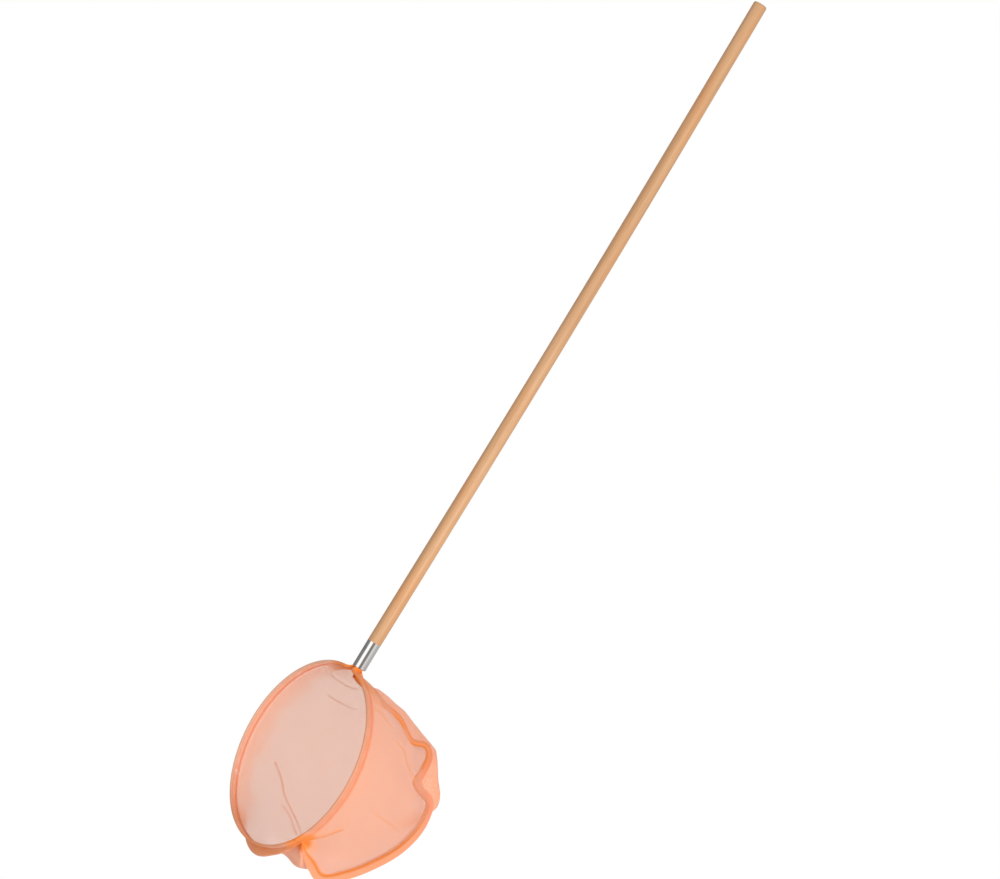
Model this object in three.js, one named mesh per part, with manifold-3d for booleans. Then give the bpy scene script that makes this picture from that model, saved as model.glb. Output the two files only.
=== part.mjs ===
// A hand dip net: a round wooden pole, a wire hoop clamped to its lower end by a rolled metal
// ferrule, and a bag of fine mesh sewn from two panels and hung on the hoop by their folded hems.
// Millimetres. +Z runs up the pole, and the origin is the middle of the grip, on the pole's axis.
// The hoop stands in a plane parallel to XZ. Its mouth faces -Y and the bag trails to +Y.
import * as THREE from "three";
import { mergeVertices } from "three/addons/utils/BufferGeometryUtils.js";
import Module from "manifold-3d";

// Pole
const POLE_DIAMETER = 15;
const POLE_LENGTH = 800;
const BUTT_ROUND = 1.4; // radius of the upper end's rounded edge
const LOWER_CHAMFER = 0.5;
const GRIP_BELOW_BUTT = 100; // from the upper end down to the middle of the grip

// Hoop
const HOOP_INSIDE = 200; // clear diameter
const WIRE_DIAMETER = 2.4;
const SHANK_SPACING = 6; // between the centres of the two wire ends
const SHANK_LENGTH = 17; // how far the wire ends run up the pole
const HOOK_LENGTH = 5; // the bent tip that goes into the wood
const HOOK_BEND = 1.5; // radius of the tip's bend
const THROAT_DROP = 4.4; // from the pole's lower end down to the ring
const THROAT_REACH = 10; // from the pole's axis out to where each bend meets the ring
const RING_FORWARD = 3.6; // how far the ring stands in front of the wire ends
const SHANK_RUN_ON = 0.75; // share of the throat's drop through which a wire end runs on straight
const RING_RUN_ON = 0.65; // share of the throat's reach through which the ring runs on

// Ferrule
const FERRULE_LENGTH = 31;
const FERRULE_WALL = 0.5;
const FERRULE_BEVEL = 0.15; // on the edges of both rims
const FERRULE_SLIT = 0.6; // the open joint of the rolled sheet
const FERRULE_SLIT_ANGLE = -36; // degrees from +X
const CRIMP_BELOW_RIM = 10;
const CRIMP_RADIUS = 1.6; // of the punch's round nose
const CRIMP_DEPTH_BACK = 1;
const CRIMP_DEPTH_FRONT = 1.5;

// Bag
const CLOTH = 0.6; // thickness of a panel
const HEM_DEPTH = 9; // from the wire's centre to the hem's cut edge
const HEM_CLOSE = 4; // from the wire's centre to where the hem's two layers meet
const HEM_OPENING = 40; // degrees to either side of the bag's direction where the hem leaves the wire
const BAG_DEPTH = 152; // from the wire's centre to the bottom of the seam
const BAG_FULLNESS = 0.5; // 0.55 gives the bag a round belly, and less a slimmer wedge
const SEAM_TUCK = 0.25; // how far a panel dips before it rises to the seam, as a share of its pull
const SEAM_FROM = 0.035; // share of the way across at which the seam leaves the throat's hem
const SEAM_TO = 0.99; // share of the way across at which it meets the hem again
const SEAM_END_ANGLE = 134; // degrees round the ring from the throat to the seam's other end
const SEAM_EASE = 25; // rounds of smoothing for the line that sets how the panels run to the seam
const SEAM_ALLOWANCE = 7.5; // the panels' edges that stand out beyond the seam
const SEAM_ALLOWANCE_LEAST = 1.6; // the same at each hem
const SEAM_RUN_IN = 24; // length over which those edges widen from each hem

const FIT = 0.3; // clearance between pieces that touch

// Facets
const POLE_SIDES = 48;
const BUTT_STEPS = 4;
const GROOVE_SIDES = 16;
const CRIMP_SIDES = 12;
const CRIMP_RINGS = 8;
const FERRULE_STEPS = 30; // round the wood
const FERRULE_WIRE_STEPS = 5; // round each wire
const WIRE_SIDES = 8;
const HOOK_STEPS = 4;
const RING_STEPS = 72;
const PANEL_STEPS = 48;
const BEND_STEPS = 6;
const HEM_ARC_STEPS = 5;
const BELLY_STEPS = 8;
const WELD = 1e-4; // corners closer than this count as one

// The seam's route round the bag. Each point gives a share of the way from the throat across to the
// seam's other end, and a share of the bag's depth.
const SEAM_ROUTE = [
  [0.073, 0.175],
  [0.103, 0.266],
  [0.108, 0.393],
  [0.139, 0.553],
  [0.182, 0.623],
  [0.22, 0.71],
  [0.205, 0.83],
  [0.236, 0.865],
  [0.332, 0.844],
  [0.413, 0.816],
  [0.456, 0.887],
  [0.484, 0.989],
  [0.554, 0.994],
  [0.654, 0.957],
  [0.787, 0.849],
  [0.93, 0.662],
  [1.036, 0.48],
  [1.106, 0.302],
  [1.065, 0.208],
  [1.034, 0.119],
];

// Worked out from the sizes above
const poleRadius = POLE_DIAMETER / 2;
const wireRadius = WIRE_DIAMETER / 2;
const poleTop = GRIP_BELOW_BUTT;
const poleLow = poleTop - POLE_LENGTH;
const ringRadius = HOOP_INSIDE / 2 + wireRadius;
const ringZ = poleLow - THROAT_DROP - ringRadius;
const shankX = SHANK_SPACING / 2;
const shankY = -Math.sqrt(poleRadius ** 2 - shankX ** 2); // half sunk in the front of the pole
const ringY = shankY - RING_FORWARD;
const hookZ = poleLow + SHANK_LENGTH;
const crimpZ = poleLow + FERRULE_LENGTH - CRIMP_BELOW_RIM;
const plyOffset = (CLOTH + FIT) / 2; // from the middle of two plies to the middle of each
const bagStart = HEM_DEPTH + FIT;
const seamSteps = BEND_STEPS + PANEL_STEPS;

const wasm = await Module();
wasm.setup();

const radians = THREE.MathUtils.degToRad;
const degrees = THREE.MathUtils.radToDeg;

// A closed geometry as a manifold-3d solid, for cutting and joining.
function solidOf(geometry) {
  const bare = new THREE.BufferGeometry();
  bare.setAttribute("position", geometry.getAttribute("position"));
  if (geometry.index) bare.setIndex(geometry.index);
  const merged = mergeVertices(bare, WELD);
  return new wasm.Manifold(
    new wasm.Mesh({
      numProp: 3,
      vertProperties: new Float32Array(merged.getAttribute("position").array),
      triVerts: new Uint32Array(merged.index.array),
    }),
  );
}

function geometryOf(solid) {
  const mesh = solid.getMesh();
  const geometry = new THREE.BufferGeometry();
  geometry.setAttribute("position", new THREE.BufferAttribute(mesh.vertProperties, 3));
  geometry.setIndex(new THREE.BufferAttribute(mesh.triVerts, 1));
  geometry.computeVertexNormals();
  return geometry;
}

// Points along an arc, from one angle to another, in degrees.
function arcPoints(centreX, centreY, radius, from, to, steps) {
  return Array.from({ length: steps + 1 }, (_, i) => {
    const angle = radians(from + ((to - from) * i) / steps);
    return new THREE.Vector2(centreX + radius * Math.cos(angle), centreY + radius * Math.sin(angle));
  });
}

// A curve through given stations that keeps their own spacing, close in bends and wide elsewhere.
class StationCurve extends THREE.Curve {
  constructor(stations) {
    super();
    this.stations = stations;
  }
  getUtoTmapping(u) {
    return u;
  }
  getPoint(t) {
    const last = this.stations.length - 1;
    const index = Math.min(Math.floor(t * last), last - 1);
    return this.stations[index].clone().lerp(this.stations[index + 1], t * last - index);
  }
  getTangent(t) {
    return tangentAt(this.stations, Math.round(t * (this.stations.length - 1)));
  }
}

function tangentAt(stations, index) {
  const before = stations[Math.max(index - 1, 0)];
  const after = stations[Math.min(index + 1, stations.length - 1)];
  const arriving = stations[index].clone().sub(before).normalize();
  const leaving = after.clone().sub(stations[index]).normalize();
  return arriving.add(leaving).normalize();
}

// The point of the ring's centreline at an angle in radians, round from the throat to one side.
function ringPoint(side, angle) {
  return new THREE.Vector3(
    side * ringRadius * Math.sin(angle),
    ringY,
    ringZ + ringRadius * Math.cos(angle),
  );
}

// The wire from the pole's lower end through the throat, and round the ring to an angle in degrees.
function hoopStations(side, endAngle, steps) {
  const start = Math.asin(THROAT_REACH / ringRadius);
  const end = radians(endAngle);
  const foot = ringPoint(side, start);
  const towardsThroat = new THREE.Vector3(-side * Math.cos(start), 0, Math.sin(start));
  const bend = new THREE.CubicBezierCurve3(
    new THREE.Vector3(side * shankX, shankY, poleLow),
    new THREE.Vector3(side * shankX, (shankY + ringY) / 2, poleLow - THROAT_DROP * SHANK_RUN_ON),
    foot.clone().addScaledVector(towardsThroat, (THROAT_REACH - shankX) * RING_RUN_ON),
    foot,
  );
  const ring = Array.from({ length: steps }, (_, i) =>
    ringPoint(side, start + ((end - start) * (i + 1)) / steps),
  );
  return [...bend.getPoints(BEND_STEPS), ...ring];
}

// From a wire end's hooked tip down to just above the pole's lower end.
function shank(side) {
  const bend = arcPoints(shankY + HOOK_BEND, hookZ - HOOK_BEND, HOOK_BEND, 90, 180, HOOK_STEPS);
  return [
    new THREE.Vector3(side * shankX, shankY + HOOK_LENGTH, hookZ),
    ...bend.map((p) => new THREE.Vector3(side * shankX, p.x, p.y)),
  ];
}

function hoopWire() {
  const left = [...shank(-1), ...hoopStations(-1, 180, RING_STEPS / 2)];
  const right = [...shank(1), ...hoopStations(1, 180, RING_STEPS / 2)].reverse();
  const stations = [...left, ...right.slice(1)];
  const section = new THREE.Shape(arcPoints(0, 0, wireRadius, 0, 360, WIRE_SIDES).slice(1));
  return new THREE.ExtrudeGeometry(section, {
    steps: stations.length - 1,
    extrudePath: new StationCurve(stations),
    bevelEnabled: false,
  });
}

// The two punched dents that lock the ferrule: one in front, between the wires, and one behind.
function crimpBalls(radius) {
  const outside = FIT + FERRULE_WALL;
  const front = shankY - wireRadius - outside - CRIMP_RADIUS + CRIMP_DEPTH_FRONT;
  const back = poleRadius + outside + CRIMP_RADIUS - CRIMP_DEPTH_BACK;
  return [front, back].map((y) =>
    solidOf(new THREE.SphereGeometry(radius, CRIMP_SIDES, CRIMP_RINGS).translate(0, y, crimpZ)),
  );
}

// The pole, with grooves and holes for the two wire ends and a hollow under each crimp.
function pole() {
  const profile = [
    new THREE.Vector2(0, 0),
    new THREE.Vector2(poleRadius - LOWER_CHAMFER, 0),
    new THREE.Vector2(poleRadius, LOWER_CHAMFER),
    ...arcPoints(poleRadius - BUTT_ROUND, POLE_LENGTH - BUTT_ROUND, BUTT_ROUND, 0, 90, BUTT_STEPS),
    new THREE.Vector2(0, POLE_LENGTH),
  ];
  const body = new THREE.LatheGeometry(profile, POLE_SIDES).rotateX(Math.PI / 2).translate(0, 0, poleLow);
  const grooveRadius = wireRadius + FIT;
  const grooveLength = SHANK_LENGTH + grooveRadius + LOWER_CHAMFER;
  const holeLength = HOOK_LENGTH + FIT + poleRadius;
  let solid = solidOf(body);
  for (const side of [-1, 1]) {
    const groove = new THREE.CylinderGeometry(grooveRadius, grooveRadius, grooveLength, GROOVE_SIDES)
      .rotateX(Math.PI / 2)
      .translate(side * shankX, shankY, hookZ + grooveRadius - grooveLength / 2);
    const hole = new THREE.CylinderGeometry(grooveRadius, grooveRadius, holeLength, GROOVE_SIDES)
      .translate(side * shankX, shankY - poleRadius + holeLength / 2, hookZ);
    solid = solid.subtract(solidOf(groove)).subtract(solidOf(hole));
  }
  for (const ball of crimpBalls(CRIMP_RADIUS + FERRULE_WALL + FIT)) solid = solid.subtract(ball);
  return geometryOf(solid);
}

// The ferrule's outline at a distance from the wood: round, and drawn over the two wires in front.
function ferruleOutline(distance) {
  const towardsWire = degrees(Math.atan2(shankY, shankX));
  const lean = degrees(Math.acos((poleRadius - wireRadius) / Math.hypot(shankX, shankY)));
  const leave = towardsWire + lean;
  return [
    ...arcPoints(0, 0, poleRadius + distance, leave, 180 - leave, FERRULE_STEPS),
    ...arcPoints(-shankX, shankY, wireRadius + distance, 180 - leave, 270, FERRULE_WIRE_STEPS),
    ...arcPoints(shankX, shankY, wireRadius + distance, 270, 360 + leave, FERRULE_WIRE_STEPS),
  ];
}

function ferrule() {
  const inner = ferruleOutline(FIT);
  const outer = ferruleOutline(FIT + FERRULE_WALL);
  const wall = new THREE.Shape(outer);
  wall.holes.push(new THREE.Path(inner));
  const rims = {
    depth: FERRULE_LENGTH - 2 * FERRULE_BEVEL,
    bevelThickness: FERRULE_BEVEL,
    bevelSize: FERRULE_BEVEL,
    bevelOffset: -FERRULE_BEVEL,
    bevelSegments: 1,
  };
  const lift = poleLow + FERRULE_BEVEL;
  const core = solidOf(new THREE.ExtrudeGeometry(new THREE.Shape(outer), rims).translate(0, 0, lift));
  let solid = solidOf(new THREE.ExtrudeGeometry(wall, rims).translate(0, 0, lift));
  for (const nub of crimpBalls(CRIMP_RADIUS + FERRULE_WALL)) solid = solid.add(nub.intersect(core));
  for (const dent of crimpBalls(CRIMP_RADIUS)) solid = solid.subtract(dent);
  const slit = new THREE.BoxGeometry(POLE_DIAMETER, FERRULE_SLIT, 2 * FERRULE_LENGTH)
    .translate(POLE_DIAMETER / 2, 0, poleLow + FERRULE_LENGTH / 2)
    .rotateZ(radians(FERRULE_SLIT_ANGLE));
  return geometryOf(solid.subtract(solidOf(slit)));
}

// Directions out of the bag and across the seam, at each point of a line along it.
function seamDirections(line) {
  const chord = ringPoint(1, radians(SEAM_END_ANGLE)).sub(ringPoint(1, 0));
  const right = new THREE.Vector3(-chord.z, 0, chord.x).normalize();
  return line.map((_, i) => {
    const tangent = tangentAt(line, i);
    const outward = right.clone().cross(tangent).normalize();
    return { outward, across: tangent.cross(outward) };
  });
}

// The seam from the throat to its other end, at equal steps.
function seamLine() {
  const throat = ringPoint(1, 0);
  const chord = ringPoint(1, radians(SEAM_END_ANGLE)).sub(throat);
  const route = (share, depth) => throat.clone().addScaledVector(chord, share).setY(ringY + depth);
  const points = SEAM_ROUTE.map(([share, depth]) => route(share, depth * BAG_DEPTH));
  points.unshift(route(SEAM_FROM, bagStart + plyOffset));
  points.push(route(SEAM_TO, bagStart + plyOffset));
  return new THREE.CatmullRomCurve3(points, false, "centripetal").getSpacedPoints(seamSteps);
}

// How far the panels' edges stand out beyond the seam at each of its points.
function seamAllowances(line) {
  const step = line[0].distanceTo(line[1]);
  return line.map((_, i) => {
    const fromEnd = step * Math.min(i, line.length - 1 - i);
    return Math.max(SEAM_ALLOWANCE_LEAST, SEAM_ALLOWANCE * Math.min(fromEnd / SEAM_RUN_IN, 1));
  });
}

// A line with its small bends drawn out and its ends kept.
function eased(line, rounds) {
  if (rounds === 0) return line;
  const next = line.map((point, i) => {
    if (i === 0 || i === line.length - 1) return point;
    return point.clone().multiplyScalar(2).add(line[i - 1]).add(line[i + 1]).divideScalar(4);
  });
  return eased(next, rounds - 1);
}

// A thin closed wall round a grid of points, which is an array of equal rows.
function wallOn(rows, thickness) {
  const columns = rows[0].length;
  const middle = new THREE.BufferGeometry().setFromPoints(rows.flat());
  const faces = [];
  for (let r = 0; r + 1 < rows.length; r++) {
    for (let c = 0; c + 1 < columns; c++) {
      const corner = r * columns + c;
      const opposite = corner + columns + 1;
      faces.push([corner, corner + 1, opposite], [corner, opposite, opposite - 1]);
    }
  }
  middle.setIndex(faces.flat());
  middle.computeVertexNormals();
  const place = middle.getAttribute("position");
  const normal = middle.getAttribute("normal");
  const points = [];
  for (const side of [0.5, -0.5]) {
    for (let i = 0; i < place.count; i++) {
      const offset = new THREE.Vector3().fromBufferAttribute(normal, i).multiplyScalar(side * thickness);
      points.push(new THREE.Vector3().fromBufferAttribute(place, i).add(offset));
    }
  }
  const back = place.count;
  const rim = [
    ...rows[0].map((_, c) => c),
    ...rows.slice(1).map((_, r) => (r + 2) * columns - 1),
    ...rows[0].slice(1).map((_, c) => rows.length * columns - 2 - c),
    ...rows.slice(2).map((_, r) => (rows.length - 2 - r) * columns),
  ];
  const triangles = faces.flatMap(([a, b, c]) => [a, b, c, back + a, back + c, back + b]);
  rim.forEach((a, i) => {
    const b = rim[(i + 1) % rim.length];
    triangles.push(a, back + a, back + b, a, back + b, b);
  });
  const geometry = new THREE.BufferGeometry().setFromPoints(points);
  geometry.setIndex(triangles);
  geometry.computeVertexNormals();
  return geometry;
}

// The hem's section round the wire, from its cut edge outside to where the panel leaves it inside.
// x is the distance out from the ring and y the depth into the bag.
function hemSection() {
  const step = (360 - 2 * HEM_OPENING) / HEM_ARC_STEPS;
  const radius = (wireRadius + FIT + CLOTH / 2) / Math.cos(radians(step / 2));
  return [
    new THREE.Vector2(plyOffset, HEM_DEPTH),
    new THREE.Vector2(plyOffset, HEM_CLOSE),
    ...arcPoints(0, 0, radius, 90 - HEM_OPENING, HEM_OPENING - 270, HEM_ARC_STEPS),
    new THREE.Vector2(-plyOffset, HEM_CLOSE),
    new THREE.Vector2(-plyOffset, bagStart),
  ];
}

// The panel's run from its hem to the seam: straight down at first, and to the side before the seam.
// The line it runs to is the eased one, so that the panel doesn't follow each small bend.
function bellyPoints(top, fold, soft, directions, side) {
  const drop = BAG_FULLNESS * (soft.y - top.y);
  const pull = BAG_FULLNESS * Math.hypot(soft.x - top.x, soft.z - top.z);
  const { outward, across } = directions;
  return new THREE.CubicBezierCurve3(
    top,
    top.clone().add(new THREE.Vector3(0, drop, 0)),
    soft.clone().addScaledVector(across, side * pull).addScaledVector(outward, -pull * SEAM_TUCK),
    fold,
  ).getPoints(BELLY_STEPS);
}

// One panel of the bag: its hem folded round the wire, its belly, and its edge turned out at the seam.
function panel(side) {
  const endGap = degrees(FIT / ringRadius);
  const endAngle = side > 0 ? SEAM_END_ANGLE : 360 - SEAM_END_ANGLE;
  const wire = hoopStations(side, endAngle - endGap, PANEL_STEPS);
  const directions = wire.map((_, i) => tangentAt(wire, i));
  wire[0].lerp(wire[1], (2 * FIT) / wire[0].distanceTo(wire[1]));
  const seam = seamLine();
  const folds = seamDirections(seam);
  const allowances = seamAllowances(seam);
  const foldLine = seam.map((place, i) => place.clone().addScaledVector(folds[i].across, side * plyOffset));
  const softLine = eased(foldLine, SEAM_EASE);
  const softDirections = seamDirections(softLine);
  const section = hemSection();
  const rows = wire.map((centre, i) => {
    const outward = new THREE.Vector3(-side * directions[i].z, 0, side * directions[i].x);
    const row = section.map((p) => {
      const point = centre.clone().addScaledVector(outward, p.x);
      point.y += p.y;
      return point;
    });
    const top = row[row.length - 1];
    const fold = foldLine[i];
    row.push(...bellyPoints(top, fold, softLine[i], softDirections[i], side).slice(1));
    row.push(fold.clone().addScaledVector(folds[i].outward, allowances[i]));
    return row;
  });
  return wallOn(rows, CLOTH);
}

const root = new THREE.Group();

const wood = new THREE.MeshStandardMaterial({ color: 0xe0b07e, roughness: 0.55, metalness: 0 });
const tinned = new THREE.MeshStandardMaterial({ color: 0xb9b7b2, roughness: 0.25, metalness: 1 });
const steel = new THREE.MeshStandardMaterial({ color: 0x8d8a84, roughness: 0.35, metalness: 1 });
const mesh = new THREE.MeshStandardMaterial({ color: 0xf79b6b, roughness: 0.8, metalness: 0 });

function add(name, geometry, material) {
  const piece = new THREE.Mesh(geometry, material);
  piece.name = name;
  root.add(piece);
}

add("pole", pole(), wood);
add("ferrule", ferrule(), tinned);
add("hoop_wire", hoopWire(), steel);
add("right_panel", panel(1), mesh);
add("left_panel", panel(-1), mesh);

export default root;
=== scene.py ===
# %% [markdown]
# # A dip net for pond and beach
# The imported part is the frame: a pole, a ferrule, a hoop of wire and the two panels of a bag, all at
# their real size. This file dresses it: it gives the wood its grain and the metal its streaks, and
# makes the bag again as thin cloth with weave, hems, creases and stitches.
# It works in millimetres, in which a net's sizes are easy to think of, and turns them into Blender's
# metres where a mesh is made.

import math

import bpy
import numpy as np
from mathutils import Matrix, Vector


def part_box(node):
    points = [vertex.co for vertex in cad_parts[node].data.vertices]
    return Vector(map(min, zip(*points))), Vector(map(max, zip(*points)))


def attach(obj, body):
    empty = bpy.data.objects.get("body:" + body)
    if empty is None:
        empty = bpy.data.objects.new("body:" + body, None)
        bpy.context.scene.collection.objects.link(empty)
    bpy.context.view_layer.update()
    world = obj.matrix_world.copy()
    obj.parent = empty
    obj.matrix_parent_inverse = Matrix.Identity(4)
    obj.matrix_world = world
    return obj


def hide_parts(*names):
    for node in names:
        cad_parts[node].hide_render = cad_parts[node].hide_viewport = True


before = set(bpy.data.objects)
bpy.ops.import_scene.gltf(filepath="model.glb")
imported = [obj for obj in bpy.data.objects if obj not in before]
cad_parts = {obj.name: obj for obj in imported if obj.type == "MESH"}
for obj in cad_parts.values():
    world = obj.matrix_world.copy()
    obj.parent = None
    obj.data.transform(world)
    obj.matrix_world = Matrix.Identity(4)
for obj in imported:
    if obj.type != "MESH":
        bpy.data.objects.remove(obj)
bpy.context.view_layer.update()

MM = 0.001


def box_mm(node):
    low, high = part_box(node)
    return np.array(low) / MM, np.array(high) / MM


pole_low, pole_high = box_mm("pole")
ferrule_low, ferrule_high = box_mm("ferrule")
wire_low, wire_high = box_mm("hoop_wire")

POLE_RADIUS = (pole_high[0] - pole_low[0]) / 2
WIRE_RADIUS = 1.2
RING_RADIUS = (wire_high[0] - wire_low[0]) / 2 - WIRE_RADIUS
RING_Z = wire_low[2] + WIRE_RADIUS + RING_RADIUS
RING_Y = wire_low[1] + WIRE_RADIUS
print("pole", 2 * POLE_RADIUS, "mm thick, ring", round(2 * RING_RADIUS, 1), "mm across")

# %% [markdown]
# ## The camera
# The camera looks at the net from its right, a little from the mouth's side, and is turned so that the
# pole runs from the lower left to the upper right. Set by eye it would come close. Fitted to the
# hoop's ellipse and the pole, its picture can be laid over the photograph. A distance of three metres
# keeps the perspective weak.

# %% Camera
AZIMUTH, ELEVATION, ROLL = (math.radians(a) for a in (54.05, -1.32, 31.20))
DISTANCE = 3000
AIM = Vector((0, 0, -405))
AIM_RIGHT, AIM_UP = 7.87, 17.54  # how far the aim stands from the picture's centre
FOCAL = 104.9  # on a sensor 36 mm wide

flat = math.cos(ELEVATION)
back = Vector((math.sin(AZIMUTH) * flat, -math.cos(AZIMUTH) * flat, math.sin(ELEVATION)))
level = Vector((math.cos(AZIMUTH), math.sin(AZIMUTH), 0))
upright = back.cross(level)
right = level * math.cos(ROLL) + upright * math.sin(ROLL)
up = upright * math.cos(ROLL) - level * math.sin(ROLL)

lens = bpy.data.cameras.new("camera")
lens.lens = FOCAL
lens.sensor_width = 36
lens.clip_end = 20
camera = bpy.data.objects.new("camera", lens)
facing = Matrix((right, up, back)).transposed().to_4x4()
stand = (AIM + back * DISTANCE - right * AIM_RIGHT - up * AIM_UP) * MM
camera.matrix_world = Matrix.Translation(stand) @ facing
bpy.context.scene.collection.objects.link(camera)
bpy.context.scene.camera = camera
bpy.context.scene.view_settings.view_transform = "Standard"
print("camera at", [round(c, 3) for c in stand])

# %% [markdown]
# ## Finishes as sums
# Every finish here is a sum of simple things: noise, a mask, a mix of two colours. It could be put
# together by hand in the node editor, with one Math node for each plus sign. The small class below
# takes the plus signs as Python writes them and adds the nodes itself, so that a finish can be read as
# the sum that it is.

# %% A wrapper for shader sockets


def both_ways(operation):
    """An operator that adds a Math node, and its reflected form, for a number on the left."""

    def plain(self, other):
        return self.math(operation, self, other)

    def reflected(self, other):
        return self.math(operation, other, self)

    return plain, reflected


class Dye:
    """A socket of one material. Arithmetic on it adds Math nodes, and node() adds any other node."""

    def __init__(self, tree, socket=None):
        self.tree = tree
        self.socket = socket

    def node(self, kind, settings=None, inputs=None, output=0):
        """Adds a node: its settings first, then the values or links of its sockets."""
        node = self.tree.nodes.new(kind)
        for name, value in (settings or {}).items():
            if name == "stops":
                self.set_stops(node.color_ramp, value)
            else:
                setattr(node, name, value)
        for name, value in (inputs or {}).items():
            if isinstance(value, Dye):
                self.tree.links.new(value.socket, node.inputs[name])
            else:
                node.inputs[name].default_value = value
        return Dye(self.tree, node.outputs[output] if node.outputs else None)

    @staticmethod
    def set_stops(ramp, stops):
        while len(ramp.elements) < len(stops):
            ramp.elements.new(1)
        for element, (position, colour) in zip(ramp.elements, stops):
            element.position = position
            element.color = colour

    def math(self, operation, *values):
        return self.node("ShaderNodeMath", {"operation": operation}, dict(enumerate(values)))

    __add__, __radd__ = both_ways("ADD")
    __sub__, __rsub__ = both_ways("SUBTRACT")
    __mul__, __rmul__ = both_ways("MULTIPLY")
    __truediv__, __rtruediv__ = both_ways("DIVIDE")
    __pow__, __rpow__ = both_ways("POWER")

    def min(self, other):
        return self.math("MINIMUM", self, other)

    def max(self, other):
        return self.math("MAXIMUM", self, other)

    def size(self):
        """The value without its sign."""
        return self.math("ABSOLUTE", self)

    def part(self, axis):
        """The x, y or z of a vector."""
        return self.node("ShaderNodeSeparateXYZ", None, {0: self}, "XYZ".index(axis))

    def scaled(self, x, y, z):
        """A vector stretched along each axis."""
        settings = {"operation": "MULTIPLY"}
        return self.node("ShaderNodeVectorMath", settings, {0: self, 1: (x, y, z)})

    def step(self, low, high):
        """0 below low, 1 above high, and a smooth rise between."""
        settings = {"interpolation_type": "SMOOTHSTEP"}
        return self.node("ShaderNodeMapRange", settings, {0: self, 1: low, 2: high})

    def blend(self, first, second):
        """first where this is 0 and second where it is 1, as colours."""
        settings = {"data_type": "RGBA"}
        return self.node("ShaderNodeMix", settings, {0: self, 6: first, 7: second}, 2)

    def mixed(self, first, second):
        """first where this is 0 and second where it is 1, as shaders."""
        return self.node("ShaderNodeMixShader", None, {0: self, 1: first, 2: second})

    def noise(self, scale, detail=2, roughness=0.5):
        inputs = {"Vector": self, "Scale": scale, "Detail": detail, "Roughness": roughness}
        return self.node("ShaderNodeTexNoise", None, inputs)

    def bump(self, strength, distance):
        """The normals of a surface on which this value is a height, up to a distance in metres."""
        inputs = {"Strength": strength, "Distance": distance, "Height": self}
        return self.node("ShaderNodeBump", None, inputs)

    def own_place(self):
        """Where a point lies on its own object."""
        return self.node("ShaderNodeTexCoord", None, None, "Object")


def new_material(name):
    """An empty material and the Dye that draws on it."""
    material = bpy.data.materials.new(name)
    material.use_nodes = True
    material.node_tree.nodes.clear()
    return material, Dye(material.node_tree)


def surface(dye, shader):
    dye.node("ShaderNodeOutputMaterial", None, {"Surface": shader})


def skin(dye, inputs):
    """Ends a material in one Principled shader."""
    surface(dye, dye.node("ShaderNodeBsdfPrincipled", None, inputs))


def rgb(red, green, blue):
    """A colour as a screen shows it, 0 to 255, turned into light."""
    light = (((c / 255 + 0.055) / 1.055) ** 2.4 if c > 10 else c / 3295 for c in (red, green, blue))
    return (*light, 1)


print("a screen's middle grey as light:", round(rgb(128, 128, 128)[0], 3))

# %% [markdown]
# ## Light
# A net is see-through, so what lies behind it matters as much as the lamps. The world is white where
# the camera, a mirror or clear cloth looks at it, and a soft grey as a source of light. The key lamp
# stands on the right, almost in the plane of the hoop. It lights the near panel, shines through the
# mouth onto a strip of the far one along the wire, and leaves the rest of it in the near one's shade.
# A weak lamp on the left keeps the pole's other side from going dark. A picture of a studio could
# light it all at once, but two lamps can each be turned alone.

# %% World
SKY_FOR_LIGHT = 0.52

world = bpy.data.worlds.new("studio")
world.use_nodes = True
world.node_tree.nodes.clear()
sky = Dye(world.node_tree)
looks = ("Is Camera Ray", "Is Glossy Ray", "Is Transmission Ray")
by_eye, by_mirror, by_glass = (sky.node("ShaderNodeLightPath", None, None, name) for name in looks)
seen = by_eye.max(by_mirror).max(by_glass)
strength = seen * (1 - SKY_FOR_LIGHT) + SKY_FOR_LIGHT
glow = sky.node("ShaderNodeBackground", None, {"Color": (1, 1, 1, 1), "Strength": strength})
sky.node("ShaderNodeOutputWorld", None, {"Surface": glow})
bpy.context.scene.world = world
print("world light", SKY_FOR_LIGHT)

# %% Lamps


def lamp(name, aim, direction, distance, size, watts):
    """A square soft lamp that stands off from a point, in millimetres, and shines at it."""
    light = bpy.data.lights.new(name, "AREA")
    light.shape = "SQUARE"
    light.size = size * MM
    light.energy = watts
    stand = bpy.data.objects.new(name, light)
    direction = Vector(direction).normalized()
    stand.location = (Vector(aim) + direction * distance) * MM
    stand.rotation_euler = direction.to_track_quat("Z", "Y").to_euler()
    bpy.context.scene.collection.objects.link(stand)


BAG_MIDDLE = (20, 60, RING_Z)
lamp("key_lamp", BAG_MIDDLE, (0.97, -0.14, 0.12), 2000, 500, 30)
lamp("fill_lamp", (0, 0, -300), back * 0.7 - level * 0.7 + Vector((0, 0, 0.2)), 2200, 1200, 8)
print("a key lamp and a fill lamp")

# %% [markdown]
# ## Floor
# The net hangs from the hand that holds it, so the floor is half a metre under the bag. A floor could
# also fill the whole background, but it would shade off with distance. The world gives an even white,
# and the floor is a plain pale disc that ends below the picture.

# %% Floor
FLOOR_DROP = 500
FLOOR_RADIUS = 620

material, dye = new_material("floor")
here = dye.node("ShaderNodeNewGeometry", None, None, "Position")
speckled = here.noise(40, 3).blend(rgb(238, 238, 236), rgb(244, 244, 243))
skin(dye, {"Base Color": speckled, "Roughness": 0.7})

floor_place = (0, 0, (wire_low[2] - FLOOR_DROP) * MM)
bpy.ops.mesh.primitive_circle_add(
    vertices=128, radius=FLOOR_RADIUS * MM, fill_type="NGON", location=floor_place
)
floor = bpy.context.active_object
floor.name = "floor"
floor.data.materials.append(material)
print("floor at", round(floor.location.z, 3), "m")

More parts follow.
